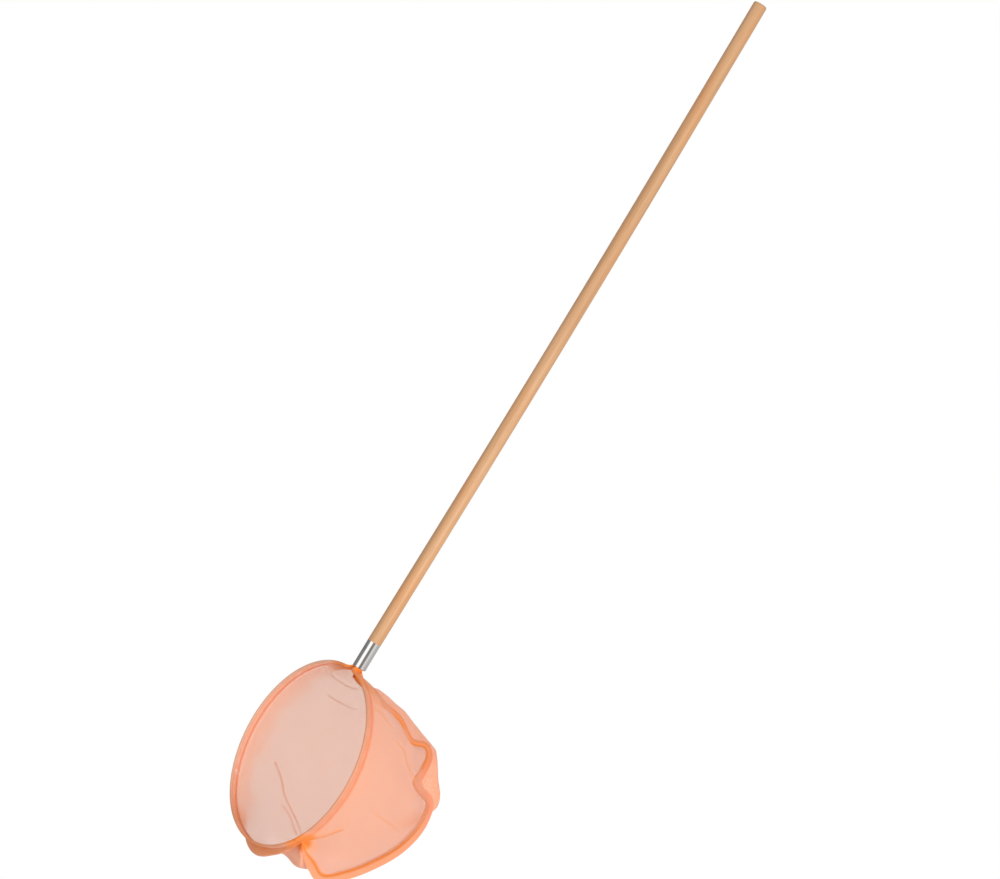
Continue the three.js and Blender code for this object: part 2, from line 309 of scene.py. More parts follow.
# %% [markdown]
# ## Wood
# The pole is a dowel of pale softwood, sanded and left bare. Its grain runs straight along it: broad
# soft bands of early and late wood, and between them short fine pores. A picture of wood could be
# wrapped round it, but noise that is stretched thirty times along the pole has no edge where it meets
# itself and never repeats.

# %% Wood material
wood, dye = new_material("pole_wood")
place = dye.own_place()
bands = place.scaled(150, 150, 5).noise(1, 3)
pores = place.scaled(1300, 1300, 40).noise(1, 2)
patches = place.scaled(30, 30, 9).noise(1, 2)
colour = bands.step(0.3, 0.7).blend(rgb(190, 142, 99), rgb(205, 159, 116))
colour = (patches.step(0.42, 0.7) * 0.6).blend(colour, rgb(206, 143, 90))
colour = (pores.step(0.55, 0.75) * 0.35).blend(colour, rgb(160, 112, 74))
grain = (pores * 0.5 + bands * 0.5).bump(0.35, 0.0002)
skin(dye, {"Base Color": colour, "Roughness": 0.42 + pores * 0.2, "Normal": grain, "IOR": 1.45})
print("wood:", wood.name)

# %% [markdown]
# ## Metals
# The ferrule is thin sheet, tinned and bright, with long marks from being drawn over the wood. Such a
# mirror shows the room that it stands in, and a plain white studio has nothing to show. So its
# reflections are painted on, as bright and dull bands round the sheet by their angle. The hoop is
# plain drawn wire, darker and duller, with a little brown where hands and water have been.

# %% Metal materials
# How bright the sheet is round the pole, as angles in degrees from +X and shares of white. These are
# painted reflections: one bright band, dull bands beside it, and the darkest along the joint.
PAINTED_REFLECTION_BANDS = [
    (-180, 0.55), (-128, 0.16), (-100, 0.17), (-70, 0.22), (-63, 0.8), (-46, 0.9),
    (-40, 0.2), (-32, 0.1), (-24, 0.13), (-12, 0.32), (24, 0.42), (56, 0.5),
    (110, 0.5), (180, 0.55),
]

tin, dye = new_material("ferrule_tin")
place = dye.own_place()
streaks = place.scaled(900, 900, 30).noise(1, 4, 0.6)
stains = place.scaled(120, 120, 60).noise(1, 3)
around = dye.math("ARCTAN2", place.part("Y"), place.part("X")) / (2 * math.pi) + 0.5
around = around + (streaks - 0.5) * 0.03
stops = [(0.5 + angle / 360, (shine, shine * 0.985, shine * 0.96, 1)) for angle, shine in PAINTED_REFLECTION_BANDS]
# Painted reflections: bright and dull bands by the angle round the pole.
bands = dye.node("ShaderNodeValToRGB", {"stops": stops}, {0: around})
colour = (streaks.step(0.45, 0.8) * 0.12).blend(bands, rgb(228, 224, 217))
colour = (stains.step(0.55, 0.8) * 0.3).blend(colour, rgb(108, 98, 88))
dull = 0.62 + streaks * 0.1 - bands.part("X") * 0.35
marks = streaks.bump(0.25, 0.0001)
skin(dye, {"Base Color": colour, "Metallic": 1, "Roughness": dull, "Normal": marks})

steel, dye = new_material("hoop_steel")
place = dye.own_place()
scuffs = place.noise(600, 3, 0.6)
tarnish = place.noise(45, 3)
colour = scuffs.blend(rgb(92, 84, 76), rgb(140, 133, 124))
colour = (tarnish.step(0.5, 0.75) * 0.6).blend(colour, rgb(112, 84, 60))
dull = 0.38 + scuffs * 0.15
marks = scuffs.bump(0.2, 0.0001)
skin(dye, {"Base Color": colour, "Metallic": 0.85, "Roughness": dull, "Normal": marks})
print("metals:", tin.name, steel.name)

# %% [markdown]
# ## The mesh cloth
# Each panel is fine nylon mesh: threads a quarter of a millimetre wide, and square holes between them,
# one every 0.7 mm. A solid sheet that is two fifths clear would look the same from afar, but up close
# it would be film. So the material draws the threads, and the holes between them are clear. Where
# cloth is bunched, sewn or folded the holes close up and the orange deepens. The mesh carries that as
# a number at each corner, called closed. A second number paints light on the cloth as a paler orange:
# 1 where it is paler, 2 where it is palest.

# %% Mesh material
MESH_PITCH = 0.7
THREAD_HALF = 0.18  # half width of a thread, as a share of the pitch
CLOSED_HALF = 0.56  # the same where the mesh is closed: over a half, so that no hole is left
THREAD_EDGE = 0.03  # how softly it ends
DEEP_FROM = 0.6  # how closed the mesh is where its colour begins to deepen
LET_THROUGH = 0.38  # share of the light on an open thread that comes out behind it


def thread_across(dye, along):
    """How far a place is from the nearest thread, in pitches: 0 on it, 0.5 in the middle of a hole."""
    return (dye.math("FRACT", along / MESH_PITCH + 0.5) - 0.5).size()


def weave_height(across, half):
    return (1 - (across / half) ** 2).max(0)


cloth, dye = new_material("orange_mesh")
pattern = dye.node("ShaderNodeUVMap", {"uv_map": "pattern"}).scaled(1000, 1000, 1)
closed = dye.node("ShaderNodeAttribute", {"attribute_name": "closed"}, None, 2)
# How much light is painted on the cloth, as a paler orange.
worn = dye.node("ShaderNodeAttribute", {"attribute_name": "worn"}, None, 2)
half = closed * (CLOSED_HALF - THREAD_HALF) + THREAD_HALF
warp = thread_across(dye, pattern.part("X"))
weft = thread_across(dye, pattern.part("Y"))
nearest = warp.min(weft)
thread = 1 - (nearest - half).step(-THREAD_EDGE, THREAD_EDGE)
rise = weave_height(warp, half).max(weave_height(weft, half))
dyed = pattern.noise(0.03, 3)
# The plain dye, the deep orange of closed mesh, and two paler oranges that are painted light.
plain_orange = dyed.blend(rgb(218, 130, 60), rgb(226, 140, 70))
pale = dyed.blend(rgb(246, 168, 128), rgb(252, 176, 139))
deep = dyed.blend(rgb(240, 130, 47), rgb(246, 142, 59))
palest_lit = dyed.blend(rgb(253, 198, 166), rgb(255, 206, 178))
colour = (worn - 1).blend(worn.blend(plain_orange, pale), palest_lit)
colour = closed.step(DEEP_FROM, 1).blend(colour, deep)
front = dye.node(
    "ShaderNodeBsdfPrincipled",
    None,
    {
        "Base Color": colour,
        "Roughness": 0.5 + rise * 0.1,
        "Normal": rise.bump(0.4, 0.0002),
        "Sheen Weight": 0.15,
        "Specular IOR Level": 0.25,
    },
)

# Light that comes through a thread, plain or with either step of painted light, mixed as the colours
# are.
through = [(222, 135, 65), (249, 172, 133), (254, 202, 172)]
through = [dye.node("ShaderNodeBsdfTranslucent", None, {"Color": rgb(*c)}) for c in through]
behind = (worn - 1).max(0).mixed(worn.min(1).mixed(through[0], through[1]), through[2])
solid = ((1 - closed.min(1)) * LET_THROUGH).mixed(front, behind)
surface(dye, thread.mixed(dye.node("ShaderNodeBsdfTransparent"), solid))
print("mesh", MESH_PITCH, "mm, clear share", round((1 - 2 * THREAD_HALF) ** 2, 2))

# %% [markdown]
# ## The sewing thread
# The thread is a deeper orange than the cloth, and twisted. Its plies could be modelled, but it is a
# third of a millimetre thick, so a fine noise in its colour and its bump stands for the twist.

# %% Thread material
sewing, dye = new_material("orange_thread")
turns = dye.own_place().noise(2200, 2)
colour = turns.blend(rgb(206, 96, 34), rgb(238, 128, 58))
skin(dye, {"Base Color": colour, "Roughness": 0.6 + turns * 0.1, "Normal": turns.bump(0.5, 0.0001)})
print("thread drawn")

# %% [markdown]
# ## From points to meshes
# Everything on this net is a grid of points. In wood, wire and thread its rows are rings along a path,
# and in cloth they are lines from the hem to the seam. A curve with a round bevel could make the wire
# too, but the hem has to lie round that same path, and points that are worked out here serve both.

# %% Mesh helpers


def length(vectors):
    return np.linalg.norm(vectors, axis=-1)


def unit(vectors):
    return vectors / length(vectors)[..., None]


def grid_mesh(name, points, material, closed_rows=False, caps=False):
    """A mesh from rows of points in millimetres, which rides on the frame. Closed rows are rings, and
    several such grids can be stacked into one mesh."""
    at = np.arange(points.size // 3).reshape(points.shape[:-1])
    if closed_rows:
        at = np.concatenate([at, at[..., :1]], axis=-1)
    corners = [at[..., :-1, :-1], at[..., :-1, 1:], at[..., 1:, 1:], at[..., 1:, :-1]]
    faces = np.stack(corners, -1).reshape(-1, 4).tolist()
    if caps:
        faces += [at[0, :-1][::-1].tolist(), at[-1, :-1].tolist()]
    mesh = bpy.data.meshes.new(name)
    mesh.from_pydata((points.reshape(-1, 3) * MM).tolist(), [], faces)
    mesh.materials.append(material)
    mesh.shade_smooth()
    piece = bpy.data.objects.new(name, mesh)
    bpy.context.scene.collection.objects.link(piece)
    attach(piece, "root")
    return piece


def tube(path, radius, sides):
    """Rings of points round a path, without twist."""
    along = unit(np.gradient(path, axis=0))
    normal = np.cross(along[0], (0, 0, 1.0))
    if np.linalg.norm(normal) < 0.1:
        normal = np.cross(along[0], (0, 1.0, 0))
    rings = []
    angle = np.linspace(0, 2 * np.pi, sides, endpoint=False)[:, None]
    for centre, direction in zip(path, along):
        normal = normal - direction * np.dot(normal, direction)
        normal /= np.linalg.norm(normal)
        other = np.cross(direction, normal)
        rings.append(centre + radius * (np.cos(angle) * normal + np.sin(angle) * other))
    return np.array(rings)


print("two rings of six points:", tube(np.array([(0, 0, 0), (0, 0, 1.0)]), WIRE_RADIUS, 6).shape)

# %% [markdown]
# ## The pole
# A cylinder would be almost a dowel. A lathe profile is as short and has the rest too: flat ends, a
# hand-rounded edge at the butt, a small chamfer, and the seat of the ferrule, where the wood is turned
# down so that the sheet lies flush. Dowels are seldom quite straight, and this one bows two
# millimetres to the side in its middle, as in the photograph.

# %% Pole
CRIMP_BELOW_RIM, CRIMP_WIDE, CRIMP_DEEP = 10, 3, 1  # the ferrule's punch marks
BUTT_ROUND = 1.4
CHAMFER = 0.5
SEAT_RADIUS = POLE_RADIUS - 0.6
BOW = 2.2
ON_AXIS = 0.01  # so that the end faces keep all their corners
ferrule_top = ferrule_high[2]


def lathe(profile, sides):
    """Rings from (radius, height) pairs."""
    angle = np.linspace(0, 2 * np.pi, sides, endpoint=False)
    return np.array([[(r * math.cos(a), r * math.sin(a), z) for a in angle] for r, z in profile])


def punched(points):
    """The points pressed towards the pole's axis at the ferrule's two punch marks."""
    below = points[..., 2] - (ferrule_top - CRIMP_BELOW_RIM)
    press = CRIMP_DEEP * np.exp(-(points[..., 0] ** 2 + below**2) / (CRIMP_WIDE / 2) ** 2)
    return points - unit(points * (1, 1, 0)) * press[..., None]


quarter = [math.radians(a) for a in range(0, 91, 15)]
profile = [
    (ON_AXIS, pole_low[2]),
    (SEAT_RADIUS - CHAMFER, pole_low[2]),
    *[(SEAT_RADIUS, z) for z in np.linspace(pole_low[2] + CHAMFER, ferrule_top - 1, 50)],
    (POLE_RADIUS, ferrule_top - 0.4),
    *[(POLE_RADIUS, z) for z in np.linspace(ferrule_top, pole_high[2] - BUTT_ROUND - 1, 60)],
    *[
        (POLE_RADIUS - BUTT_ROUND * (1 - math.cos(a)), pole_high[2] - BUTT_ROUND * (1 - math.sin(a)))
        for a in quarter
    ],
    (ON_AXIS, pole_high[2]),
]
rings = punched(lathe(profile, 64))
up_pole = np.clip((rings[..., 2] - ferrule_top) / (pole_high[2] - ferrule_top), 0, 1)
rings += BOW * np.sin(math.pi * up_pole)[..., None] * np.array(level)
dowel = grid_mesh("dowel", rings, wood, closed_rows=True, caps=True)
dowel.data.flip_normals()
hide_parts("pole")
print("dowel", len(dowel.data.vertices), "corners")

# %% [markdown]
# ## The hoop
# One wire makes the whole hoop. From its hooked tip, hidden in the wood, it runs down the pole, bends
# forwards and sideways through the throat, and goes round the ring to the same point on the other
# side. A torus could be the ring, but it would have to be cut and joined to the bends, and one path
# has no joint.

# %% Hoop wire
THROAT_DROP, THROAT_REACH = 4.4, 10.0
SHANK_X = 3.0
SHANK_Y = -math.sqrt((SEAT_RADIUS - WIRE_RADIUS - 0.1) ** 2 - SHANK_X**2)  # sunk in the wood
SHANK_LENGTH, HOOK_LENGTH, HOOK_BEND = 17.0, 5.0, 1.5
SHANK_RUN_ON, RING_RUN_ON = 0.75, 0.65
THROAT_SHARE = 1 / 9  # share of a side's stations that lie in the throat's bend
SIDE_STATIONS = 160


def bezier(a, b, c, d, t):
    return a * (1 - t) ** 3 + 3 * b * t * (1 - t) ** 2 + 3 * c * t * t * (1 - t) + d * t**3


def on_ring(side, degrees):
    angle = np.radians(degrees)
    aside, height = side * RING_RADIUS * np.sin(angle), RING_Z + RING_RADIUS * np.cos(angle)
    return np.stack([aside, np.full_like(angle, RING_Y), height], -1)


def hoop_line(side, end, steps):
    """The wire from the pole's end through the throat and round the ring to an angle in degrees."""
    share = np.linspace(0, 1, steps + 1)
    start = math.asin(THROAT_REACH / RING_RADIUS)
    foot = on_ring(side, np.degrees([start]))[0]
    back_along = np.array([-side * math.cos(start), 0, math.sin(start)])
    low = pole_low[2]
    line = bezier(
        np.array([side * SHANK_X, SHANK_Y, low]),
        np.array([side * SHANK_X, (SHANK_Y + RING_Y) / 2, low - THROAT_DROP * SHANK_RUN_ON]),
        foot + back_along * (THROAT_REACH - SHANK_X) * RING_RUN_ON,
        foot,
        np.clip(share / THROAT_SHARE, 0, 1)[:, None],
    )
    beyond = share > THROAT_SHARE
    way = (share[beyond] - THROAT_SHARE) / (1 - THROAT_SHARE)
    line[beyond] = on_ring(side, math.degrees(start) + (end - math.degrees(start)) * way)
    return line


def hook(side):
    """From the wire's tip in the wood out to its groove and down the pole."""
    top = pole_low[2] + SHANK_LENGTH
    angle = np.radians(np.linspace(90, 180, 7))
    deep, short = HOOK_BEND * (1 + np.cos(angle)), HOOK_BEND * (1 - np.sin(angle))
    bend = np.stack([np.full(7, side * SHANK_X), SHANK_Y + deep, top - short], -1)
    tip = np.array([[side * SHANK_X, SHANK_Y + HOOK_LENGTH, top]])
    down = np.linspace(bend[-1], (side * SHANK_X, SHANK_Y, pole_low[2] + 1), 6)[1:]
    return np.vstack([tip, bend, down])


left_way = np.vstack([hook(-1), hoop_line(-1, 180, SIDE_STATIONS)])
right_way = np.vstack([hook(1), hoop_line(1, 180, SIDE_STATIONS)])[::-1]
path = np.vstack([left_way, right_way[1:]])
hoop = grid_mesh("hoop", tube(path, WIRE_RADIUS, 16), steel, closed_rows=True, caps=True)
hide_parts("hoop_wire")
print("hoop", len(path), "stations")

# %% [markdown]
# ## The ferrule
# A strip of sheet, rolled into a sleeve and drawn over the pole's turned end and the two wires sunk in
# it. Its open joint shows as a thin dark line. Two punch marks, one in front and one behind, lock it.
# Two cylinders, one cut out of the other, would have neither joint nor dents. So a grid without
# thickness is rolled up and punched, and then Solidify makes it sheet and Bevel breaks its edges.

# %% Ferrule
FERRULE_WALL = 0.4
SLIT_ANGLE, SLIT_WIDE = -36, 0.3
SLEEVE_RADIUS = SEAT_RADIUS + 0.1 + FERRULE_WALL / 2


def sleeve():
    """The sheet's middle surface, pressed in at the punch marks."""
    gap = math.degrees(SLIT_WIDE / 2 / SLEEVE_RADIUS)
    turn = np.radians(np.linspace(SLIT_ANGLE + gap, SLIT_ANGLE + 360 - gap, 200))
    outline = SLEEVE_RADIUS * np.stack([np.cos(turn), np.sin(turn)], -1)
    low, high = ferrule_low[2] + FERRULE_WALL / 2, ferrule_high[2] - FERRULE_WALL / 2
    rows = [np.column_stack([outline, np.full(len(outline), z)]) for z in np.linspace(low, high, 90)]
    return punched(np.array(rows))


ferrule = grid_mesh("sleeve", sleeve(), tin)
wall = ferrule.modifiers.new("wall", "SOLIDIFY")
wall.thickness = FERRULE_WALL * MM
wall.offset = 0
round_edge = ferrule.modifiers.new("edge", "BEVEL")
round_edge.width = 0.12 * MM
round_edge.segments = 2
round_edge.limit_method = "ANGLE"
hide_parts("ferrule")
print("sleeve", round(ferrule_high[2] - ferrule_low[2], 1), "mm long")

# %% [markdown]
# ## The bag's two panels
# Two panels of cloth hang from the hoop. The edge of each is folded round the wire and sewn down as a
# hem, and one seam joins them, from the throat round the bottom of the bag up to the rim. It lies as
# in the photograph: the bag has turned on its hoop, so the seam doesn't end opposite the throat, and
# it is pushed in below the middle.
# A cloth simulation would let the bag hang, but in the photograph it stands off its hoop, stiff from
# its packet. So each panel is drawn as lines from hem to seam: a folded hem, a belly that is a Bezier
# curve, and the allowance outside the seam. Along the seam's upper part the right panel stays inside
# it, so that the seam shows.

# %% The seam's route
SEAM_END = 134  # degrees round the ring from the throat
# Each point: share of the way across from the throat to the seam's end, and depth from the wire.
SEAM_ROUTE = [
    (0.035, 9.7), (0.073, 26.6), (0.103, 40.4), (0.108, 59.7), (0.139, 84.1), (0.182, 94.7),
    (0.22, 107.9), (0.205, 126.1), (0.236, 131.5), (0.332, 128.3), (0.413, 124.1), (0.456, 134.8),
    (0.484, 150.3), (0.554, 151.1), (0.654, 145.4), (0.787, 129), (0.93, 100.6), (1.036, 73),
    (1.106, 45.9), (1.065, 31.6), (1.034, 18.1), (0.99, 9.7),
]

throat = on_ring(1, np.array([0.0]))[0]
chord = on_ring(1, np.array([float(SEAM_END)]))[0] - throat
seam_right = unit(np.array([-chord[2], 0, chord[0]]))


def run_along(line):
    """How far each point of a line lies from its start, along the line. Many lines can be stacked."""
    steps = length(np.diff(line, axis=-2))
    return np.concatenate([np.zeros_like(steps[..., :1]), np.cumsum(steps, axis=-1)], axis=-1)


def at_runs(values, run, wanted):
    """What a line's points hold, at any distances along it."""
    return np.stack([np.interp(wanted, run, values[:, k]) for k in range(3)], -1)


def smooth_curve(points, steps):
    """A curve through the points, without overshoot where they lie close, at equal spacing."""
    around = np.vstack([2 * points[0] - points[1], points, 2 * points[-1] - points[-2]])
    pieces = []
    for a, b, c, d in zip(around, around[1:], around[2:], around[3:]):
        ab, bc, cd = (max(np.linalg.norm(q - p) ** 0.5, 1e-6) for p, q in ((a, b), (b, c), (c, d)))
        leave = ((b - a) / ab - (c - a) / (ab + bc) + (c - b) / bc) * bc
        arrive = ((c - b) / bc - (d - b) / (bc + cd) + (d - c) / cd) * bc
        t = np.linspace(0, 1, 40, endpoint=False)[:, None]
        pieces.append(
            (2 * t**3 - 3 * t**2 + 1) * b
            + (t**3 - 2 * t**2 + t) * leave
            + (3 * t**2 - 2 * t**3) * c
            + (t**3 - t**2) * arrive
        )
    line = np.vstack([*pieces, points[-1:]])
    run = run_along(line)
    return at_runs(line, run, np.linspace(0, run[-1], steps + 1))


def eased(line, rounds):
    """The line with its small bends drawn out and its ends kept."""
    for _ in range(rounds):
        line = np.vstack([line[:1], (line[:-2] + 2 * line[1:-1] + line[2:]) / 4, line[-1:]])
    return line


def seam_frames(line):
    """Along the seam, out of the bag and across the seam, at each point of a line."""
    along = unit(np.gradient(line, axis=0))
    outward = unit(np.cross(seam_right, along))
    return along, outward, np.cross(along, outward)


STATIONS = 280
seam_points = np.array([throat + share * chord + (0, depth, 0) for share, depth in SEAM_ROUTE])
seam_line = smooth_curve(seam_points, STATIONS)
seam_length = run_along(seam_line)[-1]
print("seam", round(seam_length), "mm long")

# %% The hem's section
HEM_DEPTH = 9.0
PLY = 0.35  # from the middle of two layers to the middle of each
LAYERS_MEET = 3.2  # below the wire's middle
HEM_SHARES = (0.55, 0.7, 0.85, 1)  # of its depth, where its columns lie


def hem_section():
    """The hem round the wire, from its cut edge outside to where the panel leaves it inside."""
    sleeve_radius = WIRE_RADIUS + 0.25
    angle = np.radians(np.linspace(50, -230, 13))
    outside = [(PLY, HEM_DEPTH * share) for share in HEM_SHARES[::-1]] + [(PLY, LAYERS_MEET)]
    round_wire = [(sleeve_radius * math.cos(a), sleeve_radius * math.sin(a)) for a in angle]
    inside = [(-PLY, LAYERS_MEET)] + [(-PLY, HEM_DEPTH * share) for share in HEM_SHARES]
    return np.array(outside + round_wire + inside)


HEM = hem_section()
print("hem", HEM_DEPTH, "mm deep,", len(HEM), "columns")

# %% A panel's lines
SEAM_ALLOWANCE = 9
LEAST_ALLOWANCE, RUN_IN = 1.6, 24  # at the hems, and the length in which it widens from there
UPPER_ALLOWANCE = 0.6  # share of the allowance that stands out in the seam's upper part
ALLOWANCE_WIDENS = (0.28, 0.36)  # shares of the seam between which that part ends
BELLY_FULLNESS = 0.5  # length of a belly's handles at hem and seam, as a share of the way between
BELLY_TUCK = 0.25  # how far the handle at the seam leans into the bag
UPPER_TUCK = 0.75  # how much more it does on the right, along the seam's upper part
COMES_IN = (0.02, 0.08)  # shares of the seam between which that tuck and the billow begin
TUCK_ENDS, BILLOW_ENDS = (0.3, 0.42), (0.48, 0.6)
# Where the left panel billows out beyond the seam: share of the way along it, then as in SEAM_ROUTE.
BILLOW = [
    (0.032, 0.002, 31.5), (0.068, 0.018, 45.8), (0.111, 0.029, 62.7), (0.143, 0.048, 75.9),
    (0.175, 0.062, 88.8), (0.207, 0.089, 101.3), (0.239, 0.112, 113.4), (0.271, 0.137, 124.2),
    (0.296, 0.162, 135.1), (0.314, 0.182, 142.7), (0.339, 0.23, 148.5), (0.361, 0.27, 152.3),
    (0.386, 0.31, 156.1), (0.421, 0.349, 160.6), (0.454, 0.389, 164.4), (0.475, 0.432, 166),
    (0.493, 0.479, 166), (0.514, 0.531, 163), (0.539, 0.585, 159), (0.6, 0.71, 147),
]
BILLOW_AT, BILLOW_ABOVE = 0.86, 0.3  # shares of the way down the panel, and how far it reaches up
BILLOW_CLEAR = 5  # how far the billow stays off the seam's plane
# The left panel's loose folds below the hoop: how far out, and middle and reach as shares of the seam.
DROOPS = [(6.5, 0.87, 0.12), (9, 0.79, 0.11)]
DROOP_DOWN = (0.07, 0.11)  # middle and reach of both as shares of the way down
DROOP_FULL = 0.04  # the hem doesn't droop, and from here down the folds do in full
LOBE_OUT, LOBE_ALONG, LOBE_DOWN = 14, (0.97, 0.13), (0.6, 0.5)
END_GAP = 0.17  # degrees round the ring between the panels' ends and the seam's
EASE_ROUNDS = 600  # how smooth a line along the seam the bellies follow
BELLY_STEPS = 84
EDGE_STEPS = 5
BELLY_START = len(HEM) - 1
SEAM_AT = BELLY_START + BELLY_STEPS


def swell(x, centre, reach):
    """1 at the centre and 0 beyond its reach, with a round top."""
    return np.clip(1 - ((x - centre) / reach) ** 2, 0, None) ** 2


def ramp(x, low, high):
    """0 below low, 1 above high, and a smooth rise between."""
    share = np.clip((x - low) / (high - low), 0, 1)
    return share**2 * (3 - 2 * share)


def panel_lines(side):
    """All lines of one panel, as an array of stations by places along the line."""
    end = SEAM_END if side > 0 else 360 - SEAM_END
    wire = hoop_line(side, end - END_GAP, STATIONS)
    along = unit(np.gradient(wire, axis=0))
    outward = unit(np.stack([-side * along[:, 2], np.zeros(len(wire)), side * along[:, 0]], -1))
    hem = wire[:, None] + outward[:, None] * HEM[None, :, :1]
    askew = 1 / np.sqrt(1 - along[:, 1:2] ** 2)  # keeps the hem round where the wire leans
    hem[..., 1] += HEM[None, :, 1] * np.where(np.abs(HEM[None, :, 1]) < LAYERS_MEET, askew, 1)
    top = hem[:, -1]

    _, away, across = seam_frames(seam_line)
    fold = seam_line + across * side * PLY
    soft = eased(fold, EASE_ROUNDS)
    _, soft_away, soft_across = seam_frames(soft)
    drop = BELLY_FULLNESS * (soft[:, 1:2] - top[:, 1:2])
    pull = BELLY_FULLNESS * np.hypot(soft[:, :1] - top[:, :1], soft[:, 2:] - top[:, 2:])
    below = top + drop * (0, 1, 0)
    u = np.linspace(0, 1, STATIONS + 1)[:, None]
    tuck = BELLY_TUCK
    if side > 0:
        tuck = tuck + UPPER_TUCK * ramp(u, *COMES_IN) * (1 - ramp(u, *TUCK_ENDS))
    beside = soft + soft_across * side * pull - soft_away * pull * tuck
    t = np.linspace(0, 1, BELLY_STEPS + 1)[1:]
    belly = bezier(top[:, None], below[:, None], beside[:, None], fold[:, None], t[None, :, None])

    run = np.linspace(0, seam_length, STATIONS + 1)
    from_end = np.minimum(run, seam_length - run)
    narrow = UPPER_ALLOWANCE + (1 - UPPER_ALLOWANCE) * ramp(u[:, 0], *ALLOWANCE_WIDENS)
    allowance = SEAM_ALLOWANCE * narrow * np.minimum(from_end / RUN_IN, 1)
    allowance = np.maximum(LEAST_ALLOWANCE, allowance)
    share = np.linspace(0, 1, EDGE_STEPS + 1)[1:]
    edge = fold[:, None] + away[:, None] * (allowance[:, None] * share)[..., None]

    lines = np.concatenate([hem, belly, edge], axis=1)
    if side < 0:
        u = u[:, None]
        t = np.concatenate([np.zeros(len(HEM)), t, np.ones(EDGE_STEPS)])[None, :, None]
        off_hem = np.clip(t / DROOP_FULL, 0, 1)
        droop = sum(out * swell(u, middle, reach) for out, middle, reach in DROOPS)
        lines += outward[:, None] * droop * swell(t, *DROOP_DOWN) * off_hem
        lines += outward[:, None] * LOBE_OUT * swell(u, *LOBE_ALONG) * swell(t, *LOBE_DOWN)
        at, sideways, deep = np.array(BILLOW).T
        sideways, deep = (np.interp(u[:, 0], at, values) for values in (sideways, deep))
        brim = throat + sideways * chord + deep * (0, 1, 0) - BILLOW_CLEAR * seam_right
        pull_out = (brim - lines[:, BELLY_START + round(BILLOW_AT * BELLY_STEPS)])[:, None]
        near_brim = swell(t, BILLOW_AT, np.where(t < BILLOW_AT, BILLOW_ABOVE, 1 - BILLOW_AT))
        lines += pull_out * ramp(u, *COMES_IN) * (1 - ramp(u, *BILLOW_ENDS)) * near_brim
    return lines


right_lines = panel_lines(1)
left_lines = panel_lines(-1)
print("panel grids", right_lines.shape, left_lines.shape)

# %% [markdown]
# ## Creases
# The cloth has been folded in its packet and pulled about on its hoop, and it keeps the lines. A crease
# could be pressed in with a sculpting brush, but a few numbers are easier to shift: each crease is a
# row of places on a panel, as shares of the way along the hem and of the way down to the seam. Near it
# the cloth stands up in a small ridge and its threads close up.

# %% Creases
# Each crease: places, height of the ridge, half width, and how far the mesh closes.
RIGHT_CREASES = [
    ([(0.407, 0.2), (0.421, 0.271), (0.431, 0.292), (0.463, 0.333), (0.491, 0.42)], 1.2, 1.1, 0.5),
    ([(0.985, 0.0), (0.94, 0.12), (0.903, 0.16), (0.856, 0.188), (0.829, 0.208)], 1.6, 1.2, 0.7),
    ([(0.32, 0.02), (0.329, 0.083), (0.347, 0.125), (0.352, 0.17)], 0.7, 1.1, 0.4),
    ([(0.7, 0.3), (0.68, 0.45), (0.655, 0.62)], 0.5, 1.2, 0.25),
]
LEFT_CREASES = [
    ([(0.528, 0.188), (0.56, 0.25), (0.597, 0.292), (0.653, 0.396), (0.718, 0.479)], 0.6, 0.85, 0.32),
    ([(0.63, 0.3), (0.648, 0.354), (0.681, 0.396), (0.713, 0.438)], 0.5, 1.0, 0.25),
    ([(0.213, 0.04), (0.231, 0.146), (0.227, 0.208), (0.213, 0.312), (0.19, 0.354)], 0.5, 1.1, 0.25),
    ([(0.296, 0.25), (0.287, 0.333), (0.264, 0.438)], 0.55, 0.9, 0.25),
]
# Soft waves of the whole cloth: how fast each one turns along x, y and z in radians a millimetre, its
# start, and its height.
RUMPLES = [
    ((0.11, 0.05, 0.09), 0.0, 0.7),
    ((-0.06, 0.13, 0.04), 1.3, 0.6),
    ((0.03, -0.08, 0.15), 2.1, 0.5),
    ((0.19, 0.1, -0.12), 0.7, 0.3),
]


def place_on(lines, u, t):
    """The point of a panel at a share along the hem and a share down the belly."""
    i = u * STATIONS
    j = BELLY_START + t * BELLY_STEPS
    low_i, low_j = min(int(i), STATIONS - 1), min(int(j), SEAM_AT - 1)
    a, b = i - low_i, j - low_j
    corner = lines[low_i : low_i + 2, low_j : low_j + 2]
    first, second = (1 - b) * corner[:, 0] + b * corner[:, 1]
    return (1 - a) * first + a * second


def distance_to_path(points, path):
    """From each point to the nearest place on a path of straight pieces."""
    best = np.full(points.shape[:-1], np.inf)
    for a, b in zip(path, path[1:]):
        ab = b - a
        share = np.clip(((points - a) @ ab) / (ab @ ab), 0, 1)
        best = np.minimum(best, length(points - a - share[..., None] * ab))
    return best


def hump(x, half_width, power=4):
    """1 where x is 0, and a fall to 0 round the half width, the steeper the higher the power."""
    return np.exp(-((x / half_width) ** power))


def cloth_normals(lines):
    return unit(np.cross(np.gradient(lines, axis=0), np.gradient(lines, axis=1)))


def creased(lines, side, creases):
    """The panel with its ridges, and how far they close its mesh at each point."""
    ridges = np.zeros(lines.shape[:2])
    shift = np.zeros(lines.shape[:2])
    for places, height, half_width, shut in creases:
        path = smooth_curve(np.array([place_on(lines, u, t) for u, t in places]), 40)
        near = hump(distance_to_path(lines, path), half_width, 2)
        near[:, : BELLY_START + 1] = near[:, SEAM_AT:] = 0
        shift += height * near
        ridges = np.maximum(ridges, shut * near)
    on_belly = swell(np.linspace(-1, 1, BELLY_STEPS + 1), 0, 1)
    for turns, start, height in RUMPLES:
        wave = height * np.sin(lines[:, BELLY_START : SEAM_AT + 1] @ np.array(turns) + start)
        shift[:, BELLY_START : SEAM_AT + 1] += wave * on_belly
    return lines + cloth_normals(lines) * (shift * side)[..., None], ridges


